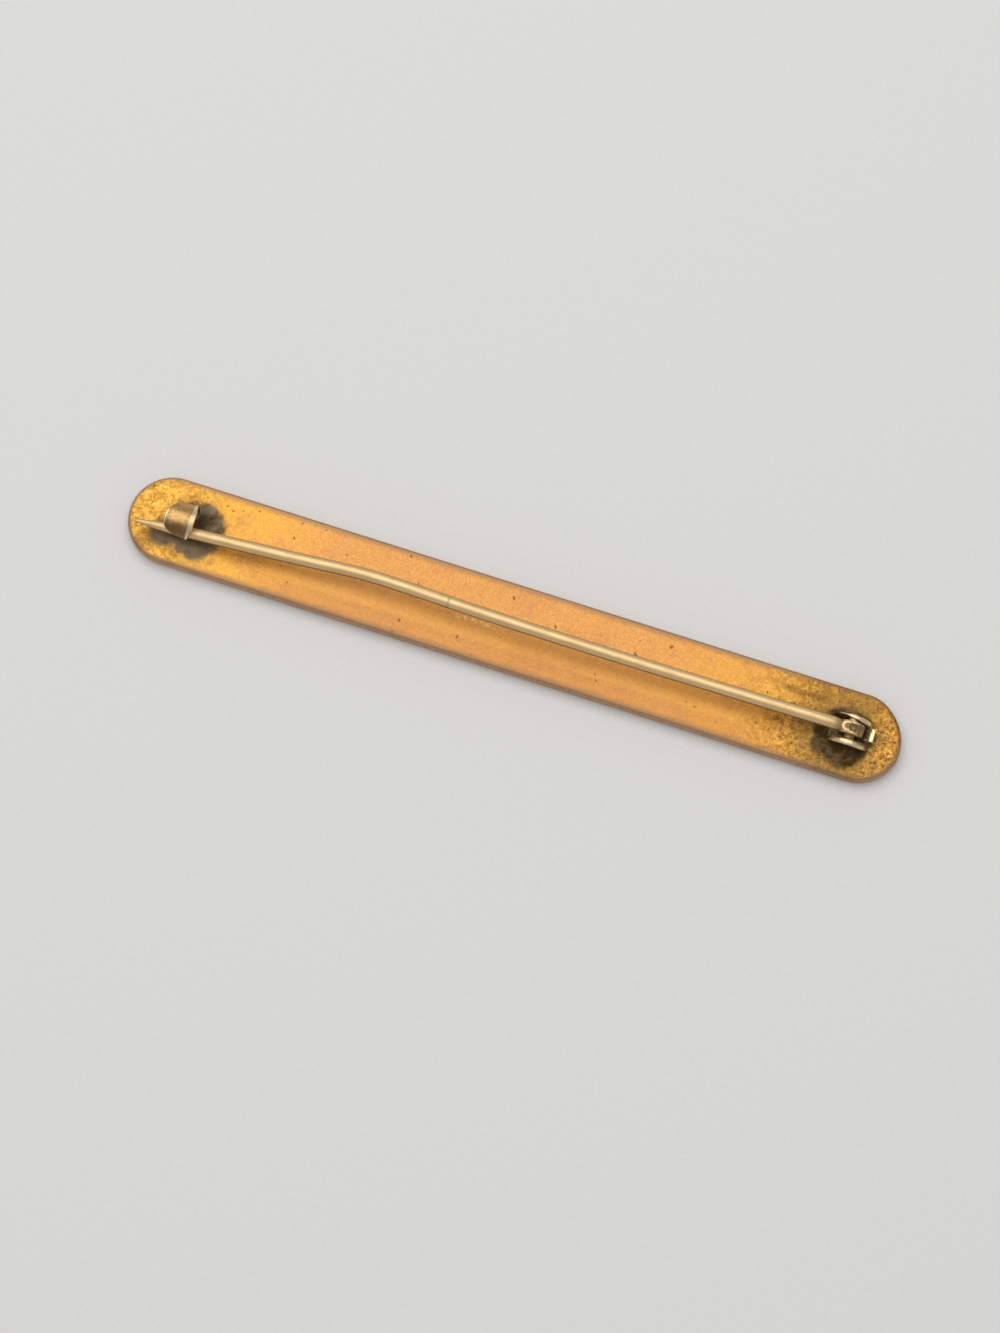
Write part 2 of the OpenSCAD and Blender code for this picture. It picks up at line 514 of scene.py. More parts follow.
def add_spots(s, colour, colours, mottle, ends):
    """Brown spots, thickest at the two ends and crusted before the hinge."""
    right = s.x.rise(-24.0, 10.0)
    dark = mottle.rise(0.54, 0.40) * ends
    colour = s.mix(colour, Tone.SPOT, dark * (right * 0.3 + 0.55))
    specks = s.noise(4.2, 4.0, 0.6, shift=17.0).rise(0.53, 0.67) * ends * (right * 0.5 + 0.5)
    few = s.noise(1.7, 1.0, 0.5, shift=31.0).rise(0.70, 0.76) * 0.8
    near_hinge = s.x.rise(17.5, 20.0) * s.x.rise(24.5, 23.5) * abs(s.y + 0.3).rise(1.7, 0.9)
    crust = s.noise(2.0, 5.0, 0.75, shift=40.0).rise(0.52, 0.64) * near_hinge
    spots = specks.at_least(few).at_least(crust)
    colour = s.mix(colour, colours.stain, spots * 0.7)
    lower = s.y.rise(-1.2, -2.3) * s.x.rise(-22.0, -15.0)
    return s.mix(colour, Tone.LOWER_SHADE, lower * (1 - ends) * 0.35), spots


def add_rim(s, colour, mottle, ends):
    """A pale line at the very edge and a browner band of painted shade inside it, where the rim rounds over.
    """
    half_w = BAR_WIDTH / 2
    reach = (abs(s.x) - (BAR_LENGTH / 2 - half_w)).at_least(0.0)
    edge = half_w - (reach * reach + s.y * s.y) ** 0.5
    wander = (s.noise(0.9, 2.0, shift=2.0) - 0.5) * 0.3
    # Painted shade along the rounded rim.
    rim_shade = (edge + wander).rise(0.70, 0.20)
    off_tip = s.x.rise(-28.5, -24.5) * 0.7 + 0.3
    colour = s.mix(colour, Tone.RIM_SHADE_BROWN, rim_shade * (0.8 - ends * 0.3) * off_tip)
    pale = (edge + wander * 0.3).rise(0.34, 0.12)
    colour = s.mix(colour, Tone.RIM_PALE, pale * 0.75)
    side = edge.rise(0.10, 0.02)
    return s.mix(colour, Tone.SIDE_BROWN, side * mottle.rise(0.42, 0.60) * 0.7), rim_shade


def add_solder_and_painted_light(s, colour, grain, wobble, tone):
    """Solder that has run out round the two fittings, with burnt flux along its edge, and painted light and
    shade: shade before the hinge, light under the wire, the catch's shadow and shade under the knuckle.
    """
    shade = s.y.rise(0.6, 2.2) * s.x.rise(19.5, 22.5)
    colour = s.mix(colour, Tone.HINGE_SHADE, shade * 0.4)
    # Painted light under the wire, lifting its soft shadow.
    wire_shadow_lift = abs(s.y + 1.05).rise(1.0, 0.4) * abs(s.x).rise(20.5, 17.0)
    colour = s.mix(colour, Tone.UNDER_WIRE_LIGHT, wire_shadow_lift * 0.35)
    steady = wobble * 0.7 + 0.15
    catch_pool = s.spot(*CATCH_POOL, steady).at_least(s.spot(*CATCH_TRAIL, steady))
    hinge_pool = s.spot(*HINGE_POOL, steady)
    scorch = s.spot(*HINGE_SCORCH, wobble).at_least(s.spot(*CATCH_SCORCH, wobble) * 0.55)
    colour = s.mix(colour, Tone.SCORCH, scorch * (0.45 + tone * 0.3))
    lead = s.mix(Tone.LEAD, Tone.LEAD_PALE, tone.rise(0.50, 0.66))
    lead = s.mix(lead, Tone.LEAD_DARK, tone.rise(0.50, 0.34))
    lead = s.mix(lead, Tone.LEAD_GRAIN, grain.rise(0.60, 0.74) * 0.4)
    lead = s.mix(lead, Tone.LEAD_LOWER, s.y.rise(-0.7, -1.7) * 0.6)
    burnt = s.mix(Tone.BURNT, Tone.BURNT_DARK, tone.rise(0.54, 0.40))
    burnt = s.mix(burnt, Tone.BURNT_UPPER, (s.y + (tone - 0.5) * 2.5).rise(1.0, 2.2))
    burnt = s.mix(burnt, Tone.BURNT_GRAIN, grain.rise(0.60, 0.74) * 0.4)
    colour = s.mix(colour, lead, catch_pool * 0.97)
    colour = s.mix(colour, burnt, hinge_pool * 0.97)
    # Painted shadow beside the catch and painted shade under the knuckle.
    shade_spots = s.spot(*CATCH_SHADOW).at_least(s.spot(*KNUCKLE_SHADE_SPOT) * 0.5)
    return s.mix(colour, Tone.SHADE_DARK, shade_spots * 0.7), catch_pool.at_least(hinge_pool)


def add_marks(s, colour, colours, wobble):
    """Bright chips where the wire has rubbed the plate, and two old stains."""
    chips = s.noise(3.6, 3.0, 0.6, shift=21.0).rise(0.50, 0.60) * abs(s.y + 0.42).rise(0.22, 0.08)
    chips = chips * s.x.rise(-4.6, -4.0) * s.x.rise(-0.3, -0.9)
    colour = s.mix(colour, Tone.CHIP, chips * 0.6)
    streak = abs(s.y - 1.95 - (wobble - 0.5) * 0.5).rise(0.34, 0.1)
    streak = streak * s.x.rise(19.6, 20.6) * s.x.rise(24.2, 23.2)
    return s.mix(colour, colours.stain, s.spot(*OLD_STAIN, wobble).at_least(streak) * 0.5)


def wire_metal(colours):
    """Pale drawn brass, worn and with a painted highlight on its upper side, with painted shade down its
    sides and on its limb, and lighter underneath.
    """
    s = Shader("pale_wire")
    lines = s.noise(1.0, 3.0, 0.6, stretch=(0.2, 7, 7))
    cloud = s.noise(0.8, 3.0, shift=5.0)
    rubbed = s.attribute("rubbed")
    colour = s.mix(colours.wire, Tone.WIRE_CLOUD, cloud.rise(0.46, 0.66) * 0.4)
    colour = s.mix(colour, Tone.WIRE_LINES, lines.rise(0.46, 0.3) * 0.35)
    # Painted shade down the sides and on the limb, by which way each face points, and lighter again
    # underneath.
    colour = s.mix(Tone.WIRE_SIDE_SHADE, colour, (rubbed + (cloud - 0.5) * 0.15).rise(0.10, 0.74))
    colour = s.mix(colour, Tone.WIRE_LIMB_SHADE, rubbed.rise(0.50, 0.05) * 0.6)
    colour = s.mix(colour, Tone.WIRE_UNDERSIDE, rubbed.rise(-0.10, -0.40) * 0.85)
    ring = abs(s.x + 4.95).rise(0.14, 0.03)
    heel = (s.x + (cloud - 0.5) * 0.3).rise(24.5, 25.1)
    colour = s.mix(colour, Tone.WIRE_MARK, ring * 0.28 + heel * 0.45)
    roughness = 0.47 + cloud * 0.1 + ring * 0.1
    return s.finish(colour, roughness, lines + cloud * 0.5, bump=0.006)


def knuckle_metal(colours):
    """The wire's brass, brown with dirt and painted shade inside the hollow, with painted shade low down,
    and bright on its rim.
    """
    s = Shader("dirty_shaded_knuckle")
    cloud = s.noise(2.2, 3.0)
    crumbs = s.noise(6.0, 3.0, 0.6, shift=4.0)
    # Dirt with painted shade in the hollow.
    hollow = (s.attribute("dirt") + (crumbs - 0.5) * 0.5).rise(0.3, 0.75)
    dirt = s.mix(Tone.SHADED_DIRT, Tone.SHADED_DIRT_PALE, crumbs.rise(0.44, 0.62))
    colour = s.mix(colours.wire, Tone.KNUCKLE_CLOUD, cloud.rise(0.45, 0.65) * 0.6)
    colour = s.mix(colour, dirt, hollow * 0.95)
    # Painted shade on the knuckle's lower part, between the ears.
    colour = s.mix(colour, Tone.LOW_SHADE, (s.z - RIVET_CENTRE.z).rise(0.55, 0.1) * 0.8)
    roughness = 0.40 + cloud * 0.1 + hollow * 0.3
    return s.finish(colour, roughness, cloud + crumbs * hollow, bump=0.03, metallic=1 - hollow * 0.6)


def bracket_metal(colours):
    """Brass with a painted highlight on its burnished upper edges, painted shade low down and on upright
    faces, and dirt with painted shade between the ears.
    """
    s = Shader("bracket_brass")
    cloud = s.noise(2.0, 3.0)
    grain = s.noise(7.0, 2.0, shift=8.0)
    along = s.x - RIVET_CENTRE.x
    across = s.y - RIVET_CENTRE.y
    rise = s.z - BACK
    upright = s.attribute("upright")
    colour = s.mix(colours.wire, Tone.BRACKET_CLOUD, cloud.rise(0.45, 0.65) * 0.6)
    colour = s.mix(colour, Tone.BRACKET_GRAIN, grain.rise(0.45, 0.32) * 0.5)
    # Painted shade low down and on upright faces.
    low = (rise + (cloud - 0.5) * 0.4).rise(0.9, 0.5).at_least(upright.rise(0.7, 0.95) * 0.8)
    colour = s.mix(colour, Tone.LOW_SHADE, low * 0.9)
    far_end = across.rise(0.75, 0.9) * (along + cloud).rise(-0.2, -0.6)
    colour = s.mix(colour, Tone.FAR_EAR_END, far_end * 0.8)
    # Painted highlight on the burnished upper edges.
    colour = s.mix(colour, Tone.BRACKET_EDGE_WEAR_AND_SHEEN, rise.rise(1.1, 1.5) * upright.rise(0.8, 0.4) * 0.7)
    # The near ear has a painted highlight along its edge, painted shade inside at both ends, and painted
    # shade on its outer face.
    inside = across.rise(-1.08, -0.95) * across.rise(-0.6, -0.7)
    inside = inside * abs(along + (cloud - 0.5) * 0.3).rise(0.35, 0.8)
    colour = s.mix(colour, Tone.NEAR_EAR_INNER_SHADE, inside * 0.75)
    outside = across.rise(-0.9, -0.98) * upright.rise(0.6, 0.9)
    colour = s.mix(colour, Tone.NEAR_EAR_OUTER_SHADE, outside * 0.9)
    # Packed dirt with painted shade between the ears and up the inner side of the stop.
    dirt = s.mix(Tone.SHADED_DIRT, Tone.SHADED_DIRT_PALE, grain.rise(0.44, 0.60))
    between = across.rise(-0.86, -0.78) * across.rise(0.68, 0.58)
    between = between * (along + (cloud - 0.5) * 0.2).rise(1.50, 1.42)
    colour = s.mix(colour, dirt, between * 0.95)
    roughness = 0.34 + low * 0.25 + between * 0.2 + grain * 0.1
    return s.finish(colour, roughness, cloud + grain * 0.4, bump=0.02, metallic=1 - between * 0.6)


def catch_metal(colours):
    """Aged tan brass on the faces, worn bright along the strip's two long edges, with painted shade on its
    lower side and low down by the plate.
    """
    s = Shader("catch_brass")
    cloud = s.noise(1.1, 3.0)
    grain = s.noise(5.0, 3.0, 0.6, shift=8.0)
    wear = (s.attribute("rubbed") + (cloud - 0.5) * 0.4).rise(0.45, 0.8)
    colour = s.mix(colours.strip, Tone.STRIP_CLOUD, cloud.rise(0.42, 0.62) * 0.6)
    colour = s.mix(colour, Tone.STRIP_GRAIN, grain.rise(0.50, 0.34) * 0.6)
    # Painted shade where the curl turns down away from the light.
    colour = s.mix(colour, Tone.STRIP_LOWER_SHADE, (s.y + (cloud - 0.5) * 1.2).rise(-0.35, -1.0) * 0.8)
    colour = s.mix(colour, Tone.STRIP_EDGE, wear * 0.85)
    # Painted shade low down near the plate.
    colour = s.mix(colour, Tone.STRIP_ROOT_SHADE, s.z.rise(3.0, 2.2) * 0.75)
    roughness = 0.36 + grain * 0.1 - wear * 0.06
    return s.finish(colour, roughness, cloud + grain * 0.5, bump=0.012)


def floor_paper(colours):
    """Pale matt card."""
    s = Shader("pale_floor")
    tooth = s.noise(3.0, 3.0)
    colour = s.mix(colours.floor, Tone.FLOOR_TOOTH, tooth.rise(0.4, 0.6) * 0.5)
    return s.finish(colour, 0.75, tooth, bump=0.02, metallic=0.0)


def deselect_all():
    if bpy.context.object is not None and bpy.context.object.mode != "OBJECT":
        bpy.ops.object.mode_set(mode="OBJECT")
    bpy.ops.object.select_all(action="DESELECT")


def select_only(*objects):
    deselect_all()
    for obj in objects:
        obj.select_set(True)
    bpy.context.view_layer.objects.active = objects[0]


def edit(obj):
    select_only(obj)
    bpy.ops.object.mode_set(mode="EDIT")


def leave_edit():
    bpy.ops.object.mode_set(mode="OBJECT")


def pick(kind, test):
    """In edit mode, selects the vertices, edges or faces that pass the test, and nothing else."""
    bpy.ops.mesh.select_mode(type=kind)
    bpy.ops.mesh.select_all(action="DESELECT")
    mesh = bpy.context.edit_object.data
    form = bmesh.from_edit_mesh(mesh)
    for part in {"VERT": form.verts, "EDGE": form.edges, "FACE": form.faces}[kind]:
        if test(part):
            part.select_set(True)
    bmesh.update_edit_mesh(mesh)


def modify(obj, kind, **settings):
    """Adds a modifier with these settings and applies it."""
    select_only(obj)
    change = obj.modifiers.new(kind.lower(), kind)
    for key, value in settings.items():
        setattr(change, key, value)
    bpy.ops.object.modifier_apply(modifier=change.name)


def roughen(obj, scale, strength, kind="CLOUDS", group="", direction="NORMAL", depth=2):
    """Pushes the surface in and out by a noise with lumps about scale across."""
    lumps = bpy.data.textures.new("lumps", kind)
    lumps.noise_scale = scale
    if kind == "CLOUDS":
        lumps.noise_depth = depth
    modify(
        obj,
        "DISPLACE",
        texture=lumps,
        texture_coords="LOCAL",
        strength=strength,
        mid_level=0.5,
        direction=direction,
        vertex_group=group,
    )
    bpy.data.textures.remove(lumps)


def fuse(obj, others, voxel, smoothing):
    """Joins the pieces into one soft-edged skin."""
    select_only(obj, *others)
    bpy.ops.object.join()
    modify(obj, "REMESH", mode="VOXEL", voxel_size=voxel)
    modify(obj, "SMOOTH", factor=0.5, iterations=smoothing)


def cut(obj, cutter):
    """Takes the cutter's shape out of the piece."""
    modify(obj, "BOOLEAN", operation="DIFFERENCE", object=cutter, solver="EXACT")
    bpy.data.objects.remove(cutter)


def cut_below(height):
    """In edit mode, cuts off all that lies below a height and closes the cut."""
    bpy.ops.mesh.select_all(action="SELECT")
    bpy.ops.mesh.bisect(plane_co=(0, 0, height), plane_no=(0, 0, 1), clear_inner=True, use_fill=True)


def set_in_place(obj):
    select_only(obj)
    bpy.ops.object.transform_apply(location=True, rotation=True, scale=True)


def finish_piece(obj, name, body, material, node, angle=40):
    """Brings a piece to metres, turns its faces outward, and gives it its name, finish and body."""
    set_in_place(obj)
    obj.scale = (MM, MM, MM)
    set_in_place(obj)
    edit(obj)
    bpy.ops.mesh.select_all(action="SELECT")
    bpy.ops.mesh.remove_doubles(threshold=0.0005 * MM)
    bpy.ops.mesh.normals_make_consistent(inside=False)
    leave_edit()
    bpy.ops.object.shade_smooth_by_angle(angle=math.radians(angle))
    obj.name = name
    obj.data.name = name
    obj.data.materials.clear()
    obj.data.materials.append(material)
    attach(obj, body)
    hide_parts(node)
    return obj


def clamp(value):
    return min(1.0, max(0.0, value))


def add_block(centre, size):
    """A plain block in millimetres, as a start for a piece of sheet."""
    bpy.ops.mesh.primitive_cube_add(size=1.0, location=centre)
    block = bpy.context.object
    block.scale = size
    set_in_place(block)
    return block


def paint(obj, name, weight):
    """Stores a number at each vertex, worked out from its place and normal."""
    layer = obj.data.attributes.new(name, "FLOAT", "POINT")
    for vertex in obj.data.vertices:
        layer.data[vertex.index].value = weight(vertex.co, vertex.normal)


def lump(centre, size):
    """A ball squashed to a size, in millimetres, as a start for solder."""
    bpy.ops.mesh.primitive_ico_sphere_add(subdivisions=5, radius=1.0)
    obj = bpy.context.object
    roughen(obj, 0.7, 0.22)
    obj.scale = size
    obj.location = centre
    set_in_place(obj)
    return obj


class BROOCH_OT_bar_plate(bpy.types.Operator):
    """Build the long plate with round ends and a worn rim"""

    bl_idname = "brooch.bar_plate"
    bl_label = "Bar plate"

    def execute(self, context):
        sizes = context.scene.brooch_sizes
        thick = sizes.bar_thickness / MM
        half_w = BAR_WIDTH / 2
        pull = (BAR_LENGTH - BAR_WIDTH) / 2
        sides = 144
        deselect_all()
        bpy.ops.mesh.primitive_cylinder_add(
            vertices=sides,
            radius=half_w,
            depth=thick,
            location=(0, 0, thick / 2),
            rotation=(0, 0, math.pi / sides),
        )
        plate = context.object
        set_in_place(plate)
        edit(plate)
        for side in (-1, 1):
            pick("VERT", lambda v, side=side: v.co.x * side > 0)
            bpy.ops.transform.translate(value=(side * pull, 0, 0))
        for height, radius in ((thick, sizes.back_round), (0, sizes.front_round)):
            pick("EDGE", lambda e, h=height: all(abs(v.co.z - h) < 0.01 for v in e.verts))
            bpy.ops.mesh.bevel(offset=radius / MM, segments=8, affect="EDGES")
        leave_edit()
        modify(plate, "REMESH", mode="VOXEL", voxel_size=0.125)
        modify(plate, "SMOOTH", factor=0.5, iterations=2)
        back = plate.vertex_groups.new(name="back")
        for vertex in plate.data.vertices:
            facing = max(0.0, vertex.normal.z) ** 2
            back.add([vertex.index], facing, "REPLACE")
        roughen(plate, 5.0, 0.06, group="back", direction="Z")
        roughen(plate, 0.45, 0.012, group="back", direction="Z")
        # The hinge end is cut a little askew: its upper side falls away sooner.
        askew = plate.vertex_groups.new(name="askew")
        for vertex in plate.data.vertices:
            amount = clamp((vertex.co.x - 26.0) / 3.0) * clamp((vertex.co.y + 0.8) / 3.6)
            askew.add([vertex.index], amount, "REPLACE")
        modify(plate, "DISPLACE", direction="X", strength=-0.32, mid_level=0.0, vertex_group="askew")
        metal = back_metal(context.scene.brooch_colours)
        finish_piece(plate, "bar_plate", "brooch", metal, "bar")
        return {"FINISHED"}


class BROOCH_OT_solder(bpy.types.Operator):
    """Build the two pools of solder under the fittings"""

    bl_idname = "brooch.solder"
    bl_label = "Solder"

    def execute(self, context):
        sizes = context.scene.brooch_sizes
        back = sizes.bar_thickness / MM
        radius = sizes.solder_radius / MM
        catch = Vector(sizes.catch_centre) / MM
        metal = bpy.data.materials["worn_gilt"]
        deselect_all()
        pool = self.pool(catch.x + 0.95, back, radius)
        root = lump((catch.x + 0.2, 0.45, back - 0.02), (1.1, 0.7, 0.26))
        trail = lump((catch.x - 0.95, -1.15, back - 0.05), (1.0, 0.75, 0.14))
        self.melt(pool, [root, trail], metal, "catch_solder")
        pool = self.pool(RIVET_CENTRE.x - 0.5, back, radius * 1.03)
        feet = [
            lump((RIVET_CENTRE.x, RIVET_CENTRE.y + side, back - 0.02), (1.5, 0.42, 0.3))
            for side in (-1, 1)
        ]
        self.melt(pool, feet, metal, "hinge_solder")
        return {"FINISHED"}

    def pool(self, x, back, radius):
        """A low cap whose edge sinks into the plate at a shallow angle."""
        deep, sunk = 0.36, 0.24
        swell = radius / math.sqrt(1 - (sunk / deep) ** 2)
        pool = lump((x, 0, back - sunk), (swell, swell * 0.98, deep))
        edit(pool)
        cut_below(back - sunk / 2)
        leave_edit()
        return pool

    def melt(self, pool, lumps, metal, name):
        fuse(pool, lumps, voxel=0.06, smoothing=6)
        roughen(pool, 0.9, 0.05)
        finish_piece(pool, name, "brooch", metal, "bar")


class BROOCH_OT_catch(bpy.types.Operator):
    """Build the curled strip that holds the stem"""

    bl_idname = "brooch.catch"
    bl_label = "Catch"

    # Along the strip from its root to its tongue: half width, and shift toward the hinge.
    BLANK = (
        (0.00, 0.80, 0.26),
        (0.13, 0.74, 0.29),
        (0.27, 0.70, 0.31),
        (0.37, 0.68, 0.31),
        (0.44, 0.70, 0.30),
        (0.50, 0.78, 0.27),
        (0.57, 0.91, 0.24),
        (0.64, 1.06, 0.15),
        (0.70, 1.11, 0.11),
        (0.78, 1.12, 0.09),
        (0.84, 1.09, 0.09),
        (0.89, 1.01, 0.12),
        (0.94, 0.84, 0.24),
        (0.97, 0.68, 0.36),
        (1.00, 0.46, 0.48),
    )
    ROOT_DEG = -74.0
    TONGUE_DEG = 152.0

    def execute(self, context):
        sizes = context.scene.brooch_sizes
        centre = Vector(sizes.catch_centre) / MM
        thick = sizes.strip_thickness / MM
        middle_r = sizes.catch_radius / MM - thick / 2
        turn = math.radians(self.TONGUE_DEG - self.ROOT_DEG)
        length = middle_r * turn
        columns = 10
        deselect_all()
        bpy.ops.mesh.primitive_grid_add(
            x_subdivisions=columns, y_subdivisions=len(self.BLANK) - 1, size=2.0
        )
        strip = context.object
        edit(strip)
        rows = len(self.BLANK) - 1
        marks = [-1 + 2 * i / rows for i in range(rows + 1)]
        for i, (share, half, shift) in enumerate(self.BLANK):
            pick("VERT", lambda v, m=marks[i]: abs(v.co.y - m) < 0.4 / rows and v.co.z < 0.5)
            bpy.ops.transform.resize(value=(half, 1, 1), center_override=(0, 0, 0))
            bpy.ops.transform.translate(value=(shift, (0.5 - share) * length - marks[i], 1.0))
        leave_edit()
        # The long edges stand out a little from the middle of the strip.
        groups = strip.vertex_groups.new(name="edges")
        for vertex in strip.data.vertices:
            across = clamp(abs(vertex.co.x) / 1.15)
            groups.add([vertex.index], across**3, "REPLACE")
        modify(strip, "DISPLACE", direction="Z", strength=0.17, mid_level=0.0, vertex_group="edges")
        modify(strip, "SUBSURF", levels=2, render_levels=2)
        modify(strip, "SOLIDIFY", thickness=thick, offset=0.0)
        modify(strip, "BEVEL", width=0.07, segments=3, limit_method="ANGLE", angle_limit=math.radians(50))
        # The strip stands on edge, is bent round the X axis, and is turned so that its root is down.
        strip.location = (0, 0, -1.0)
        set_in_place(strip)
        strip.rotation_euler = (math.radians(90), 0, 0)
        set_in_place(strip)
        modify(strip, "SIMPLE_DEFORM", deform_method="BEND", deform_axis="X", angle=turn)
        strip.location = (0, -middle_r, 0)
        set_in_place(strip)
        middle_deg = (self.ROOT_DEG + self.TONGUE_DEG) / 2
        strip.rotation_euler = (math.radians(middle_deg - 180), 0, 0)
        set_in_place(strip)
        roughen(strip, 1.2, 0.03)
        paint(strip, "rubbed", lambda co, n: clamp(max((co.x - 0.60) / 0.40, (-co.x - 0.74) / 0.22)))
        strip.location = centre - Vector((0, 0, 0.08))
        finish_piece(
            strip, "catch", "brooch", catch_metal(context.scene.brooch_colours), "bar"
        )
        return {"FINISHED"}


class BROOCH_OT_hinge_bracket(bpy.types.Operator):
    """Build the two ears on their floor, with the upturned stop"""

    bl_idname = "brooch.hinge_bracket"
    bl_label = "Hinge bracket"

    SHEET = 0.3
    NEAR_THICK = 0.53

    def execute(self, context):
        sizes = context.scene.brooch_sizes
        back = sizes.bar_thickness / MM
        radius = sizes.ear_radius / MM
        gap = sizes.ear_gap / MM
        x, y = RIVET_CENTRE.x, RIVET_CENTRE.y
        deselect_all()
        # The near ear leans away from the knuckle, and the far one is a little twisted.
        near = self.ear(radius, self.NEAR_THICK)
        near.rotation_euler = (math.radians(8), 0, 0)
        near.location = (x, y - (gap + self.NEAR_THICK) / 2 + 0.13, back)
        set_in_place(near)
        far = self.ear(radius, self.SHEET, worn=True)
        far.rotation_euler = (0, 0, math.radians(-5))
        far.location = (x, y + (gap + self.SHEET) / 2, back)
        set_in_place(far)
        floor = add_block((x, y, back), (2 * radius, gap + self.SHEET, self.SHEET))
        stop = self.stop(x + 1.2, y, back)
        flange = add_block((x + 1.44, y - 0.43, back + 1.06), (0.76, 0.13, 0.3))
        fuse(near, [far, floor, stop, flange], voxel=0.035, smoothing=3)
        roughen(near, 0.5, 0.04)
        paint(near, "upright", lambda co, n: abs(n.y))
        metal = bracket_metal(context.scene.brooch_colours)
        finish_piece(near, "hinge_bracket", "brooch", metal, "bar")
        return {"FINISHED"}

    def ear(self, radius, thick, worn=False):
        """A half-round ear with softened edges; a worn one is thinner toward the wire."""
        bpy.ops.mesh.primitive_cylinder_add(
            vertices=96, radius=radius, depth=thick, location=(0, 0, 0.35), rotation=ACROSS
        )
        ear = bpy.context.object
        set_in_place(ear)
        edit(ear)
        cut_below(-0.2)
        pick("EDGE", lambda e: len(e.link_faces) == 2 and e.calc_face_angle(0) > 1.0)
        bpy.ops.mesh.bevel(offset=thick * 0.38, segments=5, affect="EDGES")
        if worn:
            for test, factor in ((lambda v: v.co.x > 0.4, 1.3), (lambda v: v.co.x < -0.4, 0.6)):
                pick("VERT", test)
                bpy.ops.transform.resize(value=(1, factor, 1))
        leave_edit()
        return ear

    def stop(self, x, y, back):
        """The floor's end, turned up behind the knuckle and narrower toward its top."""
        stop = add_block((x, y, back), (0.62, 1.0, self.SHEET))
        edit(stop)
        for move, narrow in (((0.1, 0, 0.5), 0.84), ((0.17, 0, 0.5), 0.76), ((0.1, 0, 0.22), 0.9)):
            pick("FACE", lambda f: f.normal.z > 0.9)
            bpy.ops.mesh.extrude_region_move(TRANSFORM_OT_translate={"value": move})
            bpy.ops.transform.resize(value=(narrow, 1, 1))
        leave_edit()
        return stop


class BROOCH_OT_hinge_rivet(bpy.types.Operator):
    """Build the rivet with its two hammered heads"""

    bl_idname = "brooch.hinge_rivet"
    bl_label = "Hinge rivet"

    def execute(self, context):
        head_r = SHANK_RADIUS + HEAD_LIP
        deselect_all()
        bpy.ops.mesh.primitive_circle_add(
            vertices=48, radius=SHANK_RADIUS, fill_type="NGON", rotation=ACROSS
        )
        pin = context.object
        set_in_place(pin)
        edit(pin)
        bpy.ops.mesh.select_all(action="SELECT")
        # From the middle outward: the shank, the head's underside, and the head's worn dome.
        shank = ((RIVET_HALF - 0.14, 1.0), (0.0, head_r / SHANK_RADIUS))
        dome = ((0.05, 1.0), (0.05, 0.8), (0.035, 0.5), (0.005, 0.2))
        for along, size in shank + dome:
            bpy.ops.mesh.extrude_region_move(TRANSFORM_OT_translate={"value": (0, along, 0)})
            bpy.ops.transform.resize(value=(size, 1, size))
        bpy.ops.mesh.select_all(action="SELECT")
        bpy.ops.mesh.normals_make_consistent(inside=False)
        pick("FACE", lambda f: f.calc_center_median().y < 1e-4 and abs(f.normal.y) > 0.9)
        bpy.ops.mesh.delete(type="FACE")
        leave_edit()
        modify(pin, "MIRROR", use_axis=(False, True, False))
        # The near end reaches out through the leaning ear.
        edit(pin)
        pick("VERT", lambda v: v.co.y < -0.5)
        bpy.ops.transform.translate(value=(0, -0.17, 0))
        leave_edit()
        pin.location = RIVET_CENTRE
        roughen(pin, 0.3, 0.02)
        paint(pin, "upright", lambda co, n: abs(n.y))
        metal = bracket_metal(context.scene.brooch_colours)
        finish_piece(pin, "rivet", "brooch", metal, "hinge_rivet")
        return {"FINISHED"}


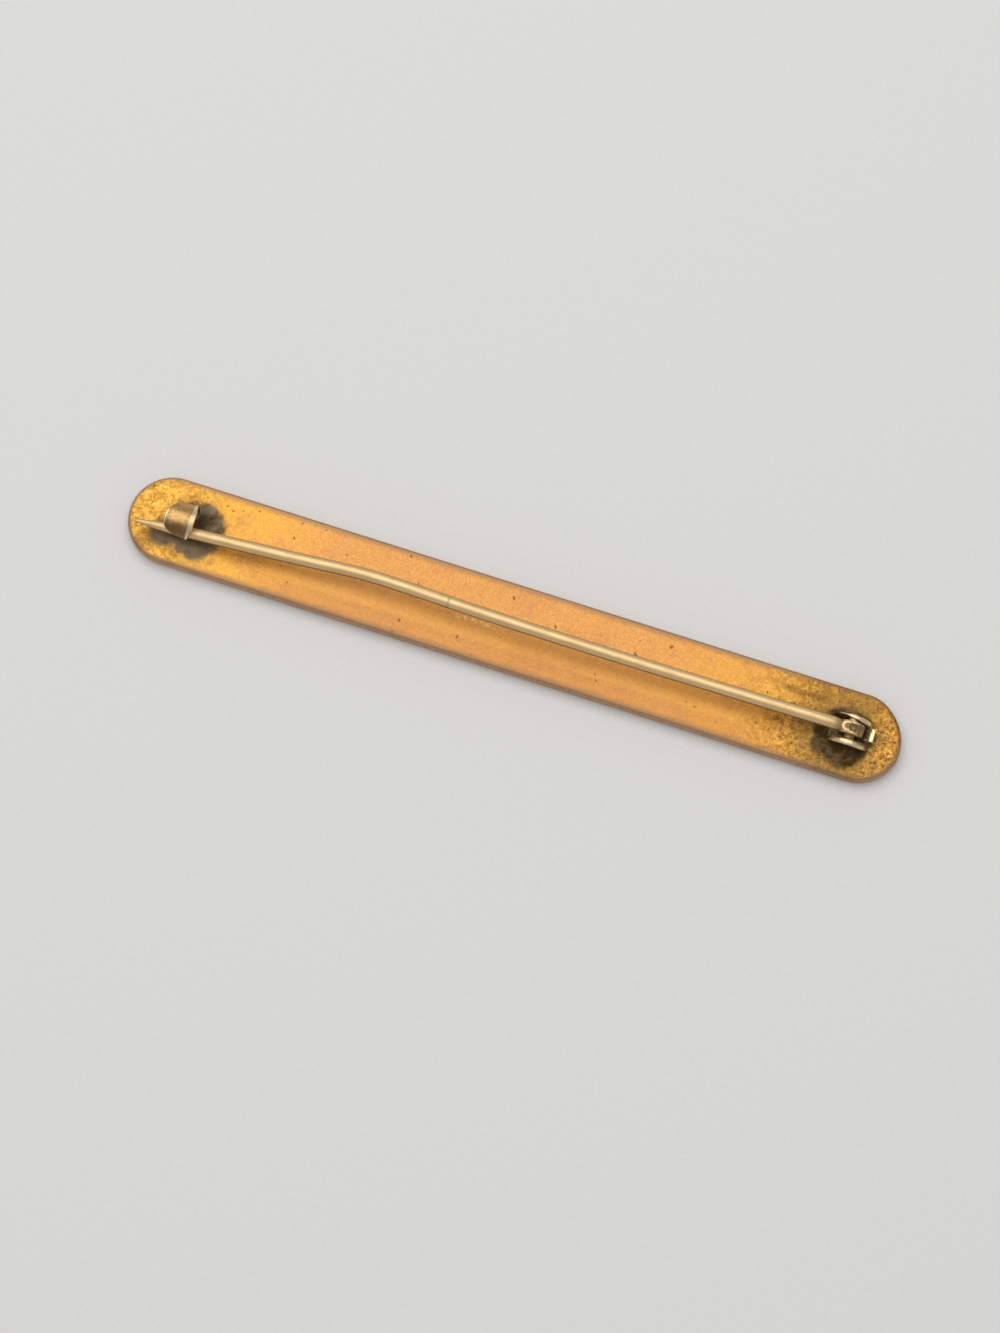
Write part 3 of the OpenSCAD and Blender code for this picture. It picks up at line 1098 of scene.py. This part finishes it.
class BROOCH_OT_pin_stem(bpy.types.Operator):
    """Build the bent wire with its ground point, and the knuckle at its end"""

    bl_idname = "brooch.pin_stem"
    bl_label = "Pin stem"

    KNUCKLE_WIDTH = 0.94

    def execute(self, context):
        self.wire(context)
        self.knuckle(context)
        return {"FINISHED"}

    def wire(self, context):
        sizes = context.scene.brooch_sizes
        back = sizes.bar_thickness / MM
        deselect_all()
        bpy.ops.curve.primitive_bezier_curve_add()
        wire = context.object
        bpy.ops.object.mode_set(mode="EDIT")
        bpy.ops.curve.select_all(action="SELECT")
        bpy.ops.curve.subdivide(number_cuts=len(STEM_POINTS) - 2)
        bpy.ops.object.mode_set(mode="OBJECT")
        wire.location = (0, 0, 0)
        wire.data.dimensions = "3D"
        wire.data.bevel_depth = sizes.wire_radius / MM
        wire.data.bevel_resolution = 10
        wire.data.resolution_u = 14
        wire.data.use_fill_caps = True
        for point, (x, y, rise, thickness) in zip(wire.data.splines[0].bezier_points, STEM_POINTS):
            point.handle_left_type = "AUTO"
            point.handle_right_type = "AUTO"
            point.co = (x, y, back + rise)
            point.radius = thickness
        bpy.ops.object.convert(target="MESH")
        edit(wire)
        bpy.ops.mesh.select_all(action="SELECT")
        bpy.ops.mesh.remove_doubles(threshold=0.001)
        bpy.ops.mesh.select_all(action="SELECT")
        bpy.ops.mesh.fill_holes(sides=0)
        leave_edit()
        roughen(wire, 1.6, 0.02)
        # Faces turned up get a painted highlight and faces turned aside get painted shade; handling also
        # wears the top.
        paint(wire, "rubbed", lambda co, n: (n.z - 0.10 * n.y) * 0.9)
        metal = wire_metal(context.scene.brooch_colours)
        finish_piece(wire, "stem_wire", "pin", metal, "pin_stem")

    def knuckle(self, context):
        """A short round eye on the rivet, with a ridge on top and a worn hollow behind it."""
        radius = context.scene.brooch_sizes.knuckle_radius / MM
        deselect_all()
        bpy.ops.mesh.primitive_cylinder_add(
            vertices=96, radius=radius, depth=self.KNUCKLE_WIDTH, rotation=ACROSS
        )
        eye = context.object
        set_in_place(eye)
        bpy.ops.mesh.primitive_torus_add(
            major_segments=64,
            minor_segments=24,
            major_radius=0.36,
            minor_radius=0.2,
            location=(-0.30, 0, 0.79),
        )
        ridge = context.object
        ridge.scale = (1, 0.84, 1)
        set_in_place(ridge)
        fuse(eye, [ridge], voxel=0.03, smoothing=2)
        bpy.ops.mesh.primitive_uv_sphere_add(segments=48, ring_count=24, radius=1.0)
        scoop = context.object
        scoop.scale = (1.1, self.KNUCKLE_WIDTH / 2 - 0.10, 0.42)
        scoop.location = (0.74, 0, 0.86)
        scoop.rotation_euler = (0, math.radians(14), 0)
        set_in_place(scoop)
        cut(eye, scoop)
        bpy.ops.mesh.primitive_cylinder_add(
            vertices=64,
            radius=SHANK_RADIUS + RIVET_PLAY,
            depth=2 * self.KNUCKLE_WIDTH,
            rotation=ACROSS,
        )
        bore = context.object
        set_in_place(bore)
        cut(eye, bore)
        modify(eye, "REMESH", mode="VOXEL", voxel_size=0.03)
        modify(eye, "SMOOTH", factor=0.5, iterations=3)
        roughen(eye, 0.5, 0.03)
        # Dirt with painted shade in the hollow, inside the ridge and between its arms.
        paint(eye, "dirt", self.dirt)
        eye.location = RIVET_CENTRE
        metal = knuckle_metal(context.scene.brooch_colours)
        finish_piece(eye, "stem_knuckle", "pin", metal, "pin_stem")

    def dirt(self, co, normal):
        """1 in the hollow, inside the ridge and on the top between its two arms, and 0 elsewhere."""
        hollow = (co.x - 0.35) * 5
        in_ridge = (0.27 - math.hypot(co.x + 0.26, co.y)) * 8
        inner = self.KNUCKLE_WIDTH / 2 - 0.14 - abs(co.y)
        between = min((co.x + 0.26) * 8, inner * 12, co.z * 4)
        return clamp(max(hollow, in_ridge, between))


class BROOCH_OT_stage(bpy.types.Operator):
    """Build the pale floor, the soft light and the camera"""

    bl_idname = "brooch.stage"
    bl_label = "Stage"

    def execute(self, context):
        self.floor(context)
        self.light("key", toward=(-0.18, 0.25, 1.0), distance=0.45, size=0.56, power=1.1)
        self.surroundings(context, colour=(0.97, 0.98, 1.0), strength=0.38)
        context.scene.view_settings.view_transform = "Standard"
        self.camera(context)
        return {"FINISHED"}

    def floor(self, context):
        deselect_all()
        bpy.ops.mesh.primitive_plane_add(size=12.0, location=(0, 0, 0))
        floor = context.object
        floor.name = "floor"
        floor.data.materials.append(floor_paper(context.scene.brooch_colours))

    def light(self, name, toward, distance, size, power):
        """A round soft lamp that shines on the brooch."""
        place = Vector(toward).normalized() * distance
        bpy.ops.object.light_add(type="AREA", location=place)
        lamp = bpy.context.object
        lamp.name = name
        lamp.data.shape = "DISK"
        lamp.data.size = size
        lamp.data.energy = power
        lamp.rotation_euler = place.to_track_quat("Z", "Y").to_euler()

    def surroundings(self, context, colour, strength):
        """Even light from all round."""
        world = bpy.data.worlds.new("studio")
        context.scene.world = world
        world.use_nodes = True
        background = world.node_tree.nodes["Background"]
        background.inputs["Color"].default_value = (*colour, 1.0)
        background.inputs["Strength"].default_value = strength

    def camera(self, context):
        """Looks at the brooch as the photo does, with a roll that sets the bar aslant."""
        view = context.scene.brooch_view
        back = Vector((math.tan(view.lean_along), -math.tan(view.lean_across), 1.0)).normalized()
        right = (Vector((1, 0, 0)) - back * back.x).normalized()
        up = back.cross(right)
        turned = math.cos(view.roll) * right + math.sin(view.roll) * up
        risen = math.cos(view.roll) * up - math.sin(view.roll) * right
        aim = Vector(view.aim)
        place = aim + back * view.distance
        bpy.ops.object.camera_add()
        camera = context.object
        camera.name = "camera"
        camera.data.lens = view.lens
        camera.data.sensor_width = 36
        camera.data.clip_start = 0.01
        camera.matrix_world = Matrix.Translation(place) @ Matrix((turned, risen, back)).transposed().to_4x4()
        context.scene.camera = camera


class BROOCH_PT_pieces(bpy.types.Panel):
    """Lists the brooch's pieces in the sidebar"""

    bl_label = "Bar brooch"
    bl_space_type = "VIEW_3D"
    bl_region_type = "UI"
    bl_category = "Brooch"

    def draw(self, context):
        for settings in (
            context.scene.brooch_sizes,
            context.scene.brooch_colours,
            context.scene.brooch_view,
        ):
            box = self.layout.box()
            for name in settings.__annotations__:
                box.prop(settings, name)
        for piece in PIECES:
            self.layout.operator(piece.bl_idname)


PIECES = (
    BROOCH_OT_bar_plate,
    BROOCH_OT_solder,
    BROOCH_OT_catch,
    BROOCH_OT_hinge_bracket,
    BROOCH_OT_hinge_rivet,
    BROOCH_OT_pin_stem,
    BROOCH_OT_stage,
)
CLASSES = (BroochSizes, BroochColours, BroochView, *PIECES, BROOCH_PT_pieces)


def register():
    for cls in CLASSES:
        bpy.utils.register_class(cls)
    bpy.types.Scene.brooch_sizes = bpy.props.PointerProperty(type=BroochSizes)
    bpy.types.Scene.brooch_colours = bpy.props.PointerProperty(type=BroochColours)
    bpy.types.Scene.brooch_view = bpy.props.PointerProperty(type=BroochView)


def unregister():
    del bpy.types.Scene.brooch_view
    del bpy.types.Scene.brooch_colours
    del bpy.types.Scene.brooch_sizes
    for cls in reversed(CLASSES):
        bpy.utils.unregister_class(cls)


def main():
    register()
    bpy.ops.brooch.bar_plate()
    bpy.ops.brooch.solder()
    bpy.ops.brooch.catch()
    bpy.ops.brooch.hinge_bracket()
    bpy.ops.brooch.hinge_rivet()
    bpy.ops.brooch.pin_stem()
    bpy.ops.brooch.stage()


if __name__ == "__main__":
    main()
